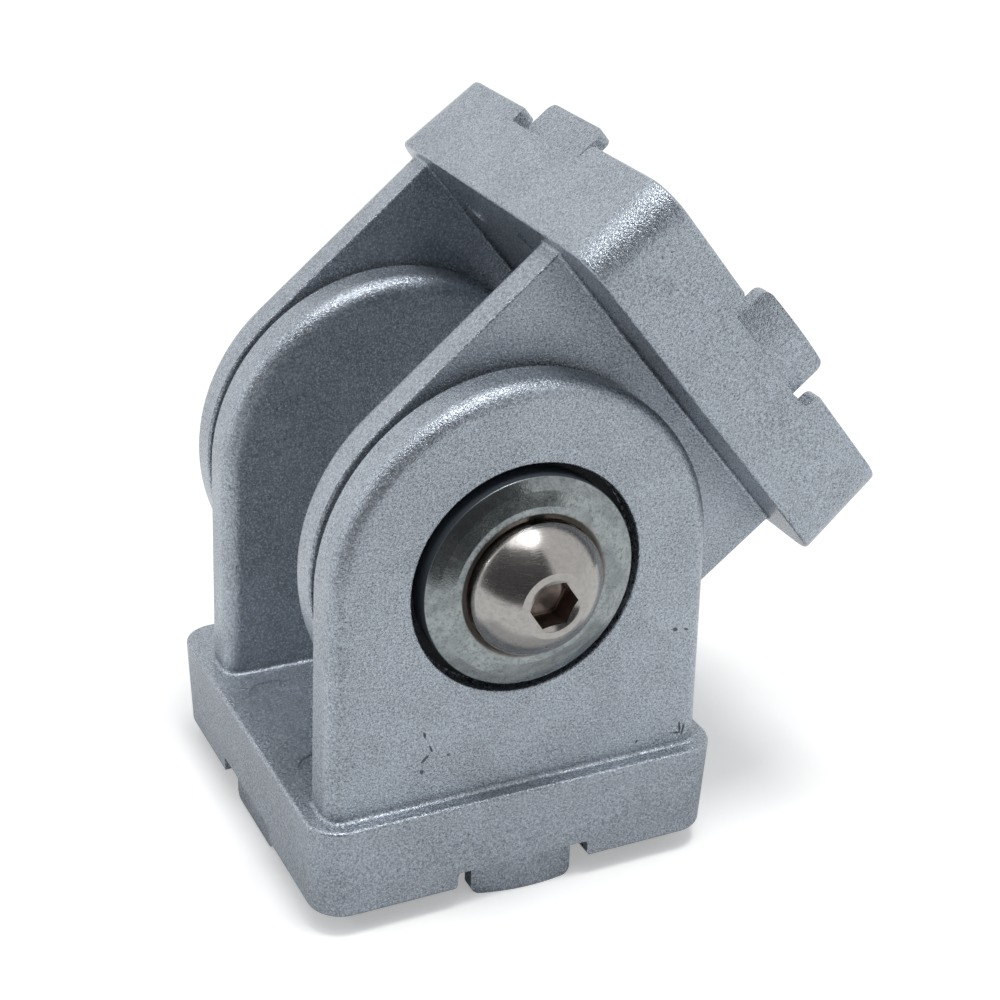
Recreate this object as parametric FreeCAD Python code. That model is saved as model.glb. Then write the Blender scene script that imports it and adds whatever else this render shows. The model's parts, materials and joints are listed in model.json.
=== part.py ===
import FreeCAD, Part
import math
import os

# Profile pivot joint: two equal castings with interleaved ears, clamped together at two coaxial pivots.
# Millimetres and degrees. Origin: centre of the lower seat face. +Z runs up to the pivot, the pivot axis is
# along Y, and the lower casting's outer ear is at the front (-Y).

V = FreeCAD.Vector

# Seat plate: its side is measured on the seat, and it widens towards the ears by the side draft
plate_side = 30.2
plate_side_draft = 2.0
plate_height = 7.0
plate_corner_radius = 2.5
hollow_corner_radius = 1.95
plate_wall = 1.2
plate_floor = 3.4
plate_edge_radius = 0.3
ledge_edge_radius = 0.25
hollow_draft = 1.5
core_bore_diameter = 8.4
core_boss_wall = 3.8
seat_rib_width = 2.0
seat_rib_recess = 1.6

# Slot tongues, one in the middle of each side of the seat; the two under the ears are bowed in plan
bowed_tongue_width = 7.5
side_tongue_width = 7.6
tongue_thickness = 1.0
tongue_inset = 0.55
tongue_corner_radius = 0.65
bowed_tongue_reach = 1.65
bowed_tongue_shift = 0.35
bow_radius = 14.0
bow_crown_shift = 1.1
side_tongue_reach = 1.42
channel_width = 10.0
channel_height = 1.4
channel_mouth_radius = 0.55
channel_root_radius = 0.3

# Ears
ear_ledge = 1.0
outer_ear_thickness = 3.2
inner_ear_thickness = 3.2
ear_gap = 0.7
ear_side_taper = 1.1
ear_edge_radius = 1.2
ear_back_edge_radius = 0.2
ear_root_radius = 0.3
ear_tip_clearance = 1.9
ejector_mark_diameter = 4.0
ejector_mark_depth = 0.15
ejector_mark_spacing = 10.6
ejector_mark_edge_distance = 3.5

# Pivot and clamp hardware
thread_diameter = 5.0
running_clearance = 0.05
screw_hole_clearance = 0.25
cup_washer_diameter = 15.1
cup_washer_gap = 0.72
counterbore_depth = 1.6
counterbore_edge_radius = 0.15
cup_rim_height = 2.05
cup_shoulder_height = 2.4
cup_shoulder_width = 0.75
cup_shoulder_crown = 0.07
cup_crest_height = 2.6
cup_crest_width = 0.25
cup_lip_width = 0.45
cup_lip_depth = 0.35
cup_pocket_depth = 0.9
cup_hollow_height = 0.45
cup_foot_width = 1.9
spring_washer_thickness = 1.2
spring_washer_width = 2.0
spring_washer_gap = 0.9
spring_washer_gap_slant = 20.0
spring_washer_room = 0.15
head_diameter = 9.5
head_height = 2.65
head_top_diameter = 4.7
head_rim_height = 0.25
socket_across_flats = 3.0
socket_depth = 1.9
socket_lead_in = 0.15
socket_turn = 3.0
socket_drill_angle = 60.0
screw_tip_chamfer = 0.5
screw_tip_clearance = 1.8
insert_across_flats = 7.0
insert_turn = 90.0
insert_blind_wall = 0.6
boss_wall = 0.95
boss_end_clearance = 0.2
friction_disc_width = 6.9
friction_face_clearance = 0.02

# Pose shown: the upper half leans towards +X by this much from straight
tilt_angle = 51.0

# Geometry of every hexagon and quarter round
hexagon_corner_share = 1 / math.sqrt(3)
eighth_turn_share = math.sqrt(0.5)

# How far apart two places, or two radii, may lie and still count as the same
same_place = 1e-6
same_radius = 1e-3

# Places that follow from the driving sizes
half_side = plate_side / 2
taper = math.radians(ear_side_taper)
ear_foot_half_width = half_side - ear_ledge
ear_radius = (
    ear_foot_half_width * math.cos(taper) - ear_tip_clearance * math.sin(taper)
) / (1 + math.sin(taper))
pivot_height = plate_height + ear_radius + ear_tip_clearance
outer_ear_front = -half_side + ear_ledge
outer_ear_back = outer_ear_front + outer_ear_thickness
inner_ear_back = half_side - ear_ledge - outer_ear_thickness - ear_gap
inner_ear_front = inner_ear_back - inner_ear_thickness
counterbore_floor = outer_ear_front + counterbore_depth
thread_radius = thread_diameter / 2
insert_corner_radius = insert_across_flats * hexagon_corner_share
boss_radius = insert_corner_radius + boss_wall
boss_length = ear_gap + outer_ear_thickness - counterbore_depth - boss_end_clearance
cup_radius = cup_washer_diameter / 2
cup_pocket_floor = cup_crest_height - cup_pocket_depth
spring_washer_radius = thread_radius + running_clearance + spring_washer_width
cup_pocket_radius = spring_washer_radius + spring_washer_room
head_seat = counterbore_floor - cup_pocket_floor - spring_washer_thickness
clamped_stack = (
    spring_washer_thickness + cup_pocket_floor + outer_ear_thickness - counterbore_depth
    + ear_gap + inner_ear_thickness
)
screw_length = clamped_stack - insert_blind_wall - screw_tip_clearance
PIVOT = V(0, 0, pivot_height)


def rounded_square(half, radius, z):
    """Wire of a square with round corners, level at height z."""
    flat = half - radius
    corner = radius * eighth_turn_share
    edges = []
    for turn in range(4):
        a = math.radians(90 * turn)

        def place(x, y):
            return V(x * math.cos(a) - y * math.sin(a), x * math.sin(a) + y * math.cos(a), z)

        edges.append(Part.makeLine(place(half, -flat), place(half, flat)))
        edges.append(
            Part.Arc(place(half, flat), place(flat + corner, flat + corner), place(flat, half)).toShape()
        )
    return Part.Wire(edges)


def cylinder_y(radius, y_start, y_end):
    """Cylinder on the pivot axis."""
    return Part.makeCylinder(radius, y_end - y_start, V(0, y_start, pivot_height), V(0, 1, 0))


def revolved(points):
    """Solid of revolution about the pivot axis, from (radius, depth behind y = 0) points and arcs.

    A third entry makes the step an arc, and is the arc's middle point.
    """
    edges = []
    first = V(points[0][0], points[0][1], pivot_height)
    last = first
    for step in points[1:] + points[:1]:
        end = V(step[0], step[1], pivot_height)
        if len(step) == 3:
            middle = V(step[2][0], step[2][1], pivot_height)
            edges.append(Part.Arc(last, middle, end).toShape())
        elif end.distanceToPoint(last) > same_place:
            edges.append(Part.makeLine(last, end))
        last = end
    face = Part.Face(Part.Wire(edges))
    return face.revolve(PIVOT, V(0, 1, 0), 360)


def seat_plate():
    """Square plate, hollow below, with the boss and ribs that stiffen its floor."""
    spread = plate_height * math.tan(math.radians(plate_side_draft))
    plate = Part.makeLoft(
        [
            rounded_square(half_side, plate_corner_radius, 0),
            rounded_square(half_side + spread, plate_corner_radius, plate_height),
        ],
        True,
        True,
    )
    rim = [edge for edge in plate.Edges if edge.BoundBox.ZMax < same_place]
    plate = plate.makeFillet(plate_edge_radius, rim)
    ledge = [edge for edge in plate.Edges if edge.BoundBox.ZMin > plate_height - same_place]
    plate = plate.makeFillet(ledge_edge_radius, ledge)
    depth = plate_height - plate_floor
    lean = depth * math.tan(math.radians(hollow_draft))
    mouth = half_side - plate_wall
    hollow = Part.makeLoft(
        [
            rounded_square(mouth, hollow_corner_radius, 0),
            rounded_square(mouth - lean, hollow_corner_radius, depth),
        ],
        True,
        True,
    )
    boss = Part.makeCylinder(core_bore_diameter / 2 + core_boss_wall, depth)
    rib_depth = depth - seat_rib_recess
    ribs = []
    for size in ((2 * mouth, seat_rib_width), (seat_rib_width, 2 * mouth)):
        corner = V(-size[0] / 2, -size[1] / 2, seat_rib_recess)
        ribs.append(Part.makeBox(size[0], size[1], rib_depth, corner))
    hollow = hollow.cut(boss.multiFuse(ribs))
    return plate.cut(hollow)


def corner_arc(x, z, radius, outward, upward, y):
    """Quarter round between a level and an upright line that meet at (x, z), bulging towards that corner.

    outward and upward (1 or -1) say on which sides of the corner the two lines lie.
    """
    near = radius * (1 - eighth_turn_share)
    return Part.Arc(
        V(x, y, z + upward * radius),
        V(x + outward * near, y, z + upward * near),
        V(x + outward * radius, y, z),
    ).toShape()


def front_channel():
    """Notch in the seat's front lip, wider than the tongue that stands in it."""
    half = channel_width / 2
    front = -2 * half_side
    length = plate_wall + tongue_thickness + half_side
    box = Part.makeBox(2 * half, length, channel_height + half_side, V(-half, front, -half_side))
    roots = [
        edge
        for edge in box.Edges
        if edge.BoundBox.ZMin > channel_height - same_place and edge.BoundBox.YLength > length / 2
    ]
    box = box.makeFillet(channel_root_radius, roots)
    flare = channel_mouth_radius
    mouth = Part.Wire(
        [
            Part.makeLine(V(-half - flare, front, 0), V(half + flare, front, 0)),
            corner_arc(half, 0, flare, 1, 1, front),
            Part.makeLine(V(half, front, flare), V(-half, front, flare)),
            corner_arc(-half, 0, flare, -1, 1, front),
        ]
    )
    return box.fuse(Part.Face(mouth).extrude(V(0, length, 0)))


def tongue_bar(left, right, reach):
    """Bar through the front wall with a tongue's outline: square above, its two free corners rounded."""
    r = tongue_corner_radius
    y = -half_side
    top = plate_height - plate_floor
    outline = Part.Wire(
        [
            Part.makeLine(V(left, y, top), V(left, y, r - reach)),
            corner_arc(left, -reach, r, 1, 1, y),
            Part.makeLine(V(left + r, y, -reach), V(right - r, y, -reach)),
            corner_arc(right, -reach, r, -1, 1, y),
            Part.makeLine(V(right, y, r - reach), V(right, y, top)),
            Part.makeLine(V(right, y, top), V(left, y, top)),
        ]
    )
    return Part.Face(outline).extrude(V(0, half_side, 0))


def bowed_tongue():
    """Tab under the front ear, bowed in plan, with a root that fills up to the plate's wall."""
    left = bowed_tongue_shift - bowed_tongue_width / 2
    right = bowed_tongue_shift + bowed_tongue_width / 2
    bar = tongue_bar(left, right, bowed_tongue_reach)
    base = V(bow_crown_shift, tongue_inset + bow_radius - half_side, -bowed_tongue_reach)
    outside = Part.makeCylinder(bow_radius, plate_height, base)
    inside = Part.makeCylinder(bow_radius - tongue_thickness, plate_height, base)
    root_start = V(left, plate_wall / 2 - half_side, channel_height)
    root_height = plate_height - plate_floor - channel_height
    root = Part.makeBox(bowed_tongue_width, half_side / 2, root_height, root_start)
    return bar.common(outside).fuse(root).cut(inside)


def side_tongue():
    """Straight tab, rooted in the plate's wall and floor."""
    half = side_tongue_width / 2
    corner = V(-half, tongue_inset - half_side, -plate_height)
    slab = Part.makeBox(side_tongue_width, tongue_thickness, 2 * plate_height, corner)
    return tongue_bar(-half, half, side_tongue_reach).common(slab)


def ear(front, thickness):
    """Round-topped ear from below the plate's top, its front edge well rounded and its back edge broken."""
    foot = plate_height - plate_floor / 2
    rise = ear_radius * math.sin(taper)
    reach = ear_radius * math.cos(taper)
    foot_half = reach + (pivot_height + rise - foot) * math.tan(taper)
    left_foot = V(-foot_half, front, foot)
    right_foot = V(foot_half, front, foot)
    left_top = V(-reach, front, pivot_height + rise)
    right_top = V(reach, front, pivot_height + rise)
    outline = Part.Wire(
        [
            Part.makeLine(left_foot, right_foot),
            Part.makeLine(right_foot, right_top),
            Part.Arc(right_top, V(0, front, pivot_height + ear_radius), left_top).toShape(),
            Part.makeLine(left_top, left_foot),
        ]
    )
    blank = Part.Face(outline).extrude(V(0, thickness, 0))
    for y, radius in ((front, ear_edge_radius), (front + thickness, ear_back_edge_radius)):
        edges = [
            edge
            for edge in blank.Edges
            if abs(edge.BoundBox.YMin - y) < same_place
            and abs(edge.BoundBox.YMax - y) < same_place
            and edge.BoundBox.ZMax > foot + same_place
        ]
        blank = blank.makeFillet(radius, edges)
    return blank


def hexagon_y(across_flats, y_start, y_end, turn):
    """Hexagonal bar on the pivot axis, turned by that angle from two corners level with the axis."""
    corner = across_flats * hexagon_corner_share
    points = []
    for k in range(7):
        a = math.radians(60 * k + turn)
        points.append(V(corner * math.cos(a), y_start, pivot_height + corner * math.sin(a)))
    return Part.Face(Part.makePolygon(points)).extrude(V(0, y_end - y_start, 0))


def insert_blank():
    """Outer form of the cast-in thread, which the casting wraps."""
    start = inner_ear_front + insert_blind_wall
    return hexagon_y(insert_across_flats, start, inner_ear_back + boss_length, insert_turn)


def casting():
    """One half of the joint, standing on its seat face."""
    body = seat_plate()
    for turn in range(4):
        channel = front_channel()
        channel.rotate(V(0, 0, 0), V(0, 0, 1), 90 * turn)
        body = body.cut(channel)
    tongues = [bowed_tongue(), bowed_tongue().mirror(V(0, 0, 0), V(0, 1, 0))]
    for turn in (90, 270):
        tongue = side_tongue()
        tongue.rotate(V(0, 0, 0), V(0, 0, 1), turn)
        tongues.append(tongue)
    ears = [
        ear(outer_ear_front, outer_ear_thickness),
        ear(inner_ear_front, inner_ear_thickness),
    ]
    body = body.multiFuse(tongues + ears).removeSplitter()
    foot_edges = [
        edge
        for edge in body.Edges
        if abs(edge.BoundBox.ZMin - plate_height) < same_place
        and abs(edge.BoundBox.ZMax - plate_height) < same_place
        and max(abs(edge.BoundBox.XMin), abs(edge.BoundBox.XMax)) < half_side - ear_ledge / 2
        and max(abs(edge.BoundBox.YMin), abs(edge.BoundBox.YMax)) < half_side - ear_ledge / 2
    ]
    body = body.makeFillet(ear_root_radius, foot_edges)
    boss = cylinder_y(boss_radius, inner_ear_back - inner_ear_thickness / 2, inner_ear_back + boss_length)
    body = body.fuse(boss)
    cuts = [
        cylinder_y(cup_radius + cup_washer_gap, outer_ear_front - outer_ear_thickness, counterbore_floor),
        cylinder_y(boss_radius + running_clearance, outer_ear_front, outer_ear_back),
        insert_blank(),
        Part.makeCylinder(core_bore_diameter / 2, plate_height),
    ]
    mark_x = half_side - ejector_mark_edge_distance
    mark_floor = plate_height - ejector_mark_depth
    middle = (outer_ear_back + inner_ear_front) / 2
    for side in (-1, 1):
        for end in (-1, 1):
            base = V(side * mark_x, middle + end * ejector_mark_spacing / 2, mark_floor)
            cuts.append(Part.makeCylinder(ejector_mark_diameter / 2, ejector_mark_depth, base))
    for tool in cuts:
        body = body.cut(tool)
    bore_rim = [
        edge
        for edge in body.Edges
        if abs(edge.BoundBox.YMin - outer_ear_front) < same_place
        and abs(edge.BoundBox.YMax - outer_ear_front) < same_place
        and abs(edge.BoundBox.XMax - cup_radius - cup_washer_gap) < same_radius
    ]
    return body.makeFillet(counterbore_edge_radius, bore_rim)


def threaded_insert():
    """Steel hexagon bush with the clamp screw's thread, as a plain bore."""
    start = inner_ear_front + insert_blind_wall
    bore = cylinder_y(thread_radius + running_clearance, start, inner_ear_back + boss_length)
    return insert_blank().cut(bore)


def friction_disc():
    """Flat ring that fills the gap between two ears, seated on the inner one."""
    inner = boss_radius + running_clearance
    start = inner_ear_back
    end = inner_ear_back + ear_gap - friction_face_clearance
    return cylinder_y(inner + friction_disc_width, start, end).cut(cylinder_y(inner, start, end))


def cup_washer():
    """Domed washer with a pocket for the spring washer, seated on the counterbore's floor."""
    base = counterbore_floor
    hole = thread_radius + screw_hole_clearance
    foot = cup_radius - cup_foot_width
    lip = cup_pocket_radius + cup_lip_width
    crest = lip + cup_crest_width
    shoulder = cup_radius - cup_shoulder_width
    slope = math.atan2(cup_shoulder_height - cup_rim_height, cup_shoulder_width)
    rim_middle = (
        (cup_radius + shoulder) / 2 + cup_shoulder_crown * math.sin(slope),
        base - (cup_rim_height + cup_shoulder_height) / 2 - cup_shoulder_crown * math.cos(slope),
    )
    return revolved(
        [
            (cup_radius, base),
            (cup_radius, base - cup_rim_height),
            (shoulder, base - cup_shoulder_height, rim_middle),
            (crest, base - cup_crest_height),
            (lip, base - cup_crest_height),
            (cup_pocket_radius, base - cup_crest_height + cup_lip_depth),
            (cup_pocket_radius, base - cup_pocket_floor),
            (hole, base - cup_pocket_floor),
            (hole, base - cup_hollow_height),
            (foot - cup_hollow_height, base - cup_hollow_height),
            (foot, base),
        ]
    )


def spring_washer():
    """Split ring pressed flat under the screw's head."""
    floor = counterbore_floor - cup_pocket_floor
    ring = cylinder_y(spring_washer_radius, floor - spring_washer_thickness, floor).cut(
        cylinder_y(thread_radius + running_clearance, floor - spring_washer_thickness, floor)
    )
    slit = Part.makeBox(
        spring_washer_gap,
        3 * spring_washer_thickness,
        2 * spring_washer_radius,
        V(-spring_washer_gap / 2, floor - 2 * spring_washer_thickness, pivot_height),
    )
    middle = V(0, floor - spring_washer_thickness / 2, pivot_height)
    slit.rotate(middle, V(0, 0, 1), spring_washer_gap_slant)
    return ring.cut(slit)


def clamp_screw():
    """Button-head screw with a hexagon socket, head towards -Y."""
    rim = head_diameter / 2
    top = head_top_diameter / 2
    rise = head_height - head_rim_height
    sphere_depth = (rim * rim - top * top - rise * rise) / (2 * rise)
    sphere_radius = math.hypot(rim, sphere_depth)
    top_angle = math.asin(top / sphere_radius)
    rim_angle = math.asin(rim / sphere_radius)
    middle_angle = (top_angle + rim_angle) / 2
    dome_middle = (
        sphere_radius * math.sin(middle_angle),
        head_seat - head_rim_height + sphere_depth - sphere_radius * math.cos(middle_angle),
    )
    tip = head_seat + screw_length
    screw = revolved(
        [
            (0, head_seat - head_height),
            (top, head_seat - head_height),
            (rim, head_seat - head_rim_height, dome_middle),
            (rim, head_seat),
            (thread_radius, head_seat),
            (thread_radius, tip - screw_tip_chamfer),
            (thread_radius - screw_tip_chamfer, tip),
            (0, tip),
        ]
    )
    mouth = head_seat - head_height
    corner = socket_across_flats * hexagon_corner_share
    drill_depth = socket_across_flats / 2 / math.tan(math.radians(socket_drill_angle))
    inward = V(0, 1, 0)
    socket_mouth = V(0, mouth, pivot_height)
    lead_in = Part.makeCone(
        corner + socket_lead_in, corner - socket_lead_in, 2 * socket_lead_in, socket_mouth, inward
    )
    socket_floor = V(0, mouth + socket_depth, pivot_height)
    drill = Part.makeCone(socket_across_flats / 2, 0, drill_depth, socket_floor, inward)
    walls = hexagon_y(socket_across_flats, mouth, mouth + socket_depth, socket_turn)
    for tool in (walls, lead_in, drill):
        screw = screw.cut(tool)
    return screw


def as_upper(shape):
    """Place a casting-frame shape in the upper half: turned end for end, then leaned about the pivot."""
    moved = shape.copy()
    moved.rotate(PIVOT, V(1, 0, 0), 180)
    moved.rotate(PIVOT, V(0, 1, 0), tilt_angle)
    return moved


def build():
    half = casting()
    outer_ear_hardware = {
        "clamp_screw": clamp_screw(),
        "spring_washer": spring_washer(),
        "cup_washer": cup_washer(),
    }
    inner_ear_hardware = {
        "threaded_insert": threaded_insert(),
        "friction_disc": friction_disc(),
    }
    nodes = {"lower_body": half, "upper_body": as_upper(half)}
    for name, shape in outer_ear_hardware.items():
        nodes["front_" + name] = shape
        nodes["rear_" + name] = as_upper(shape)
    for name, shape in inner_ear_hardware.items():
        nodes["rear_" + name] = shape
        nodes["front_" + name] = as_upper(shape)
    return nodes


os.makedirs("parts", exist_ok=True)
for node, shape in build().items():
    shape.exportStep("parts/" + node + ".step")
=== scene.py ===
import json
import math

import bmesh
import bpy
from mathutils import Matrix, Vector

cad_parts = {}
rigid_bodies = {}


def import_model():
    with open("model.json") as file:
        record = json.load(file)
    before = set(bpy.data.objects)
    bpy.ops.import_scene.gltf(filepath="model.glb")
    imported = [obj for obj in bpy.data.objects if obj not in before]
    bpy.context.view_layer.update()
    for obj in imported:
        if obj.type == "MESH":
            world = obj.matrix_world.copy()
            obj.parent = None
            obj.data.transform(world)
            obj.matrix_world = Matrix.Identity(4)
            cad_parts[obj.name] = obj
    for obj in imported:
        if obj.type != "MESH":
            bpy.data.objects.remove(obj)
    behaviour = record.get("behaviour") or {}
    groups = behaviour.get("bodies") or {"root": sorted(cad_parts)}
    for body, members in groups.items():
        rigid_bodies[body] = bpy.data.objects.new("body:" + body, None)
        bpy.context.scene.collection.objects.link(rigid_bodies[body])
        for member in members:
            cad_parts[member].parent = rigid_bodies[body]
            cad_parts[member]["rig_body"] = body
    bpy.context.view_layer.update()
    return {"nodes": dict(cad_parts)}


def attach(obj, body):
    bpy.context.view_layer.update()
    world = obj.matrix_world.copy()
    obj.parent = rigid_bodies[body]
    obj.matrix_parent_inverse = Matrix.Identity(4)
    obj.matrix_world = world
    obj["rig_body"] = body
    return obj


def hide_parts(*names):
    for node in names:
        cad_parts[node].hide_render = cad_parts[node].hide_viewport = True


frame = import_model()

# Looks of the profile pivot joint. Metres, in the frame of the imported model: the pivot axis is along Y.

MM = 0.001
WELD_DISTANCE = 0.0005 * MM
scene = bpy.context.scene

# Sizes of the dressed pieces in millimetres, the solids' own or close to them
PIVOT_HEIGHT = 22.6961
TILT = math.radians(51.0)
COUNTERBORE_FLOOR = -12.5
COUNTERBORE_RADIUS = 8.27
WASHER_RADIUS = 7.55
WASHER_HOLE_RADIUS = 2.75
WASHER_RIM_HEIGHT = 1.92
SHOULDER_RADIUS = 6.7
SHOULDER_HEIGHT = 2.31
CREST_RADIUS = 5.42
CREST_WIDTH = 0.5
CREST_HEIGHT = 2.6
POCKET_RADIUS = 4.75
POCKET_TOP = 2.4
POCKET_FLOOR = 1.7
WASHER_HOLLOW_RADIUS = 5.2
WASHER_HOLLOW_MOUTH_RADIUS = 5.65
WASHER_HOLLOW_DEPTH = 0.45
WASHER_INNER_ROUND = 0.06
SPRING_WASHER_THICKNESS = 1.2
SPRING_WASHER_RADIUS = 4.55
SPRING_WASHER_BORE = 2.55
SPRING_WASHER_GAP = 0.9
SPRING_WASHER_SLANT = math.tan(math.radians(20))
SPRING_WASHER_CORNER = 0.12
SHANK_RADIUS = 2.5
HEAD_SEAT = COUNTERBORE_FLOOR - POCKET_FLOOR - SPRING_WASHER_THICKNESS
HEAD_RADIUS = 4.75
HEAD_HEIGHT = 2.65
HEAD_TOP_RADIUS = 2.35
HEAD_RIM_HEIGHT = 0.25
HEAD_BASE_ROUND = 0.12
SOCKET_FLAT = 1.5
SOCKET_CORNER = SOCKET_FLAT / math.cos(math.radians(30))
SOCKET_DEPTH = 1.9
SOCKET_LEAD = SOCKET_CORNER + 0.12
SOCKET_TURN = math.radians(3)
DRILL_POINT = 0.8
SCREW_LENGTH = 6.0
SHANK_PLAY = 0.05
TIP_CHAMFER = 0.35
THREAD_PITCH = 0.8
THREAD_TURNS = 4.5
THREAD_CORE_RADIUS = 2.08
THREAD_END_MARGIN = 0.45
RUNOUT_START = 1.2
RUNOUT_END = 1.6

# Pits on the lower half's outer ear: x, z, half length, half width, lean in degrees from level
EAR_FACE = -14.1
PIT_RAGGEDNESS = 0.16
PITS = (
    (-7.19, 10.59, 0.32, 0.08, 43),
    (-7.40, 9.64, 0.15, 0.11, -86),
    (-6.75, 11.30, 0.27, 0.07, -73),
    (-7.22, 12.47, 0.22, 0.08, -75),
    (11.53, 16.54, 0.18, 0.13, -24),
    (12.41, 16.37, 0.17, 0.06, -18),
    (12.25, 8.00, 0.25, 0.07, -9),
    (12.49, 8.42, 0.43, 0.08, -83),
    (12.77, 8.14, 0.45, 0.07, -101),
    (9.05, 8.04, 0.13, 0.07, 55),
    (-5.46, 10.55, 0.11, 0.07, 6),
)

PIVOT = Vector((0, 0, PIVOT_HEIGHT * MM))


# Node helpers

def node_group(name, inputs, outputs):
    """Shader group with the given inputs (name, socket type, default) and outputs (name, socket type)."""
    tree = bpy.data.node_groups.new(name, "ShaderNodeTree")
    for label, kind, default in inputs:
        socket = tree.interface.new_socket(label, in_out="INPUT", socket_type=kind)
        if default is not None:
            socket.default_value = default
    for label, kind in outputs:
        tree.interface.new_socket(label, in_out="OUTPUT", socket_type=kind)
    return tree, tree.nodes.new("NodeGroupInput"), tree.nodes.new("NodeGroupOutput")


def plug(tree, value, socket):
    """Link a socket, or write a plain value."""
    if isinstance(value, bpy.types.NodeSocket):
        tree.links.new(value, socket)
    else:
        socket.default_value = value


def math_node(tree, operation, first, second=0.0, third=None, clamp=False):
    node = tree.nodes.new("ShaderNodeMath")
    node.operation = operation
    node.use_clamp = clamp
    plug(tree, first, node.inputs[0])
    plug(tree, second, node.inputs[1])
    if third is not None:
        plug(tree, third, node.inputs[2])
    return node.outputs[0]


def ramp_between(tree, value, low, high):
    """0 at low, 1 at high, smooth between."""
    node = tree.nodes.new("ShaderNodeMapRange")
    node.interpolation_type = "SMOOTHSTEP"
    plug(tree, value, node.inputs["Value"])
    plug(tree, low, node.inputs["From Min"])
    plug(tree, high, node.inputs["From Max"])
    return node.outputs["Result"]


def noise(tree, vector, scale, detail=2.0, roughness=0.5, distortion=0.0):
    """Soft random values round 0.5."""
    node = tree.nodes.new("ShaderNodeTexNoise")
    plug(tree, vector, node.inputs["Vector"])
    plug(tree, scale, node.inputs["Scale"])
    plug(tree, detail, node.inputs["Detail"])
    plug(tree, roughness, node.inputs["Roughness"])
    plug(tree, distortion, node.inputs["Distortion"])
    return node.outputs["Fac"]


def mix_colour(tree, factor, first, second):
    """First colour at factor 0, second at 1."""
    node = tree.nodes.new("ShaderNodeMix")
    node.data_type = "RGBA"
    plug(tree, factor, node.inputs[0])
    plug(tree, first, node.inputs[6])
    plug(tree, second, node.inputs[7])
    return node.outputs[2]


def object_place(tree, location=(0, 0, 0)):
    """Object coordinates, moved by a Mapping node."""
    place = tree.nodes.new("ShaderNodeTexCoord").outputs["Object"]
    mapping = tree.nodes.new("ShaderNodeMapping")
    mapping.vector_type = "POINT"
    tree.links.new(place, mapping.inputs["Vector"])
    mapping.inputs["Location"].default_value = location
    return mapping.outputs["Vector"]


def pivot_place(tree):
    """Object coordinates with the pivot axis through their origin, along Y."""
    return object_place(tree, location=(0, 0, -PIVOT_HEIGHT * MM))


def outboard_distance(tree, centred):
    """Distance from the joint's middle plane, along the pivot axis."""
    parts = tree.nodes.new("ShaderNodeSeparateXYZ")
    tree.links.new(centred, parts.inputs[0])
    return math_node(tree, "ABSOLUTE", parts.outputs["Y"])


def placed(tree, group, **values):
    """A shader group in a tree, with its named inputs linked or set."""
    node = tree.nodes.new("ShaderNodeGroup")
    node.node_tree = group
    for name, value in values.items():
        plug(tree, value, node.inputs[name.replace("_", " ")])
    return node


# Effects of the finishes, each a group that is built once

def build_grain():
    """Fine grain of a sprayed or cast skin: a tone around 0 and a height around 0."""
    tree, given, out = node_group(
        "fine_grain",
        [
            ("Place", "NodeSocketVector", None),
            ("Grain Size", "NodeSocketFloat", 0.2 * MM),
            ("Contrast", "NodeSocketFloat", 1.0),
        ],
        [("Tone", "NodeSocketFloat"), ("Height", "NodeSocketFloat")],
    )
    scale = math_node(tree, "DIVIDE", 1.0, given.outputs["Grain Size"])
    coarse = noise(tree, given.outputs["Place"], scale, 2.0, 0.6)
    finer_scale = math_node(tree, "MULTIPLY", scale, 2.3)
    fine = noise(tree, given.outputs["Place"], finer_scale, 1.0, 0.5, 0.4)
    both = math_node(tree, "ADD", coarse, fine)
    centred = math_node(tree, "SUBTRACT", both, 1.0)
    tone = math_node(tree, "MULTIPLY", centred, given.outputs["Contrast"])
    tree.links.new(tone, out.inputs["Tone"])
    tree.links.new(centred, out.inputs["Height"])
    return tree


def build_mottle():
    """Cloudy patches over a metal skin, in two sizes, from 0 to 1."""
    tree, given, out = node_group(
        "cloudy_patches",
        [("Place", "NodeSocketVector", None), ("Patch Size", "NodeSocketFloat", 2 * MM)],
        [("Patches", "NodeSocketFloat"), ("Flecks", "NodeSocketFloat")],
    )
    scale = math_node(tree, "DIVIDE", 1.0, given.outputs["Patch Size"])
    large = noise(tree, given.outputs["Place"], scale, 3.0, 0.6, 0.6)
    small_scale = math_node(tree, "MULTIPLY", scale, 5.0)
    small = noise(tree, given.outputs["Place"], small_scale, 3.0, 0.65)
    tree.links.new(ramp_between(tree, large, 0.35, 0.65), out.inputs["Patches"])
    tree.links.new(ramp_between(tree, small, 0.38, 0.66), out.inputs["Flecks"])
    return tree


def build_turned():
    """Rings about the pivot axis, as a lathe or a press tool leaves them: a height around 0."""
    tree, given, out = node_group(
        "turned_rings",
        [("Place", "NodeSocketVector", None), ("Ring Width", "NodeSocketFloat", 0.05 * MM)],
        [("Height", "NodeSocketFloat"), ("Radius", "NodeSocketFloat")],
    )
    parts = tree.nodes.new("ShaderNodeSeparateXYZ")
    tree.links.new(given.outputs["Place"], parts.inputs[0])
    across = math_node(tree, "MULTIPLY", parts.outputs["X"], parts.outputs["X"])
    up = math_node(tree, "MULTIPLY", parts.outputs["Z"], parts.outputs["Z"])
    radius = math_node(tree, "SQRT", math_node(tree, "ADD", across, up))
    count = math_node(tree, "DIVIDE", radius, given.outputs["Ring Width"])
    rings = tree.nodes.new("ShaderNodeTexNoise")
    rings.noise_dimensions = "1D"
    tree.links.new(count, rings.inputs["W"])
    rings.inputs["Scale"].default_value = 1.0
    rings.inputs["Detail"].default_value = 1.0
    tree.links.new(math_node(tree, "SUBTRACT", rings.outputs["Fac"], 0.5), out.inputs["Height"])
    tree.links.new(radius, out.inputs["Radius"])
    return tree


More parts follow.
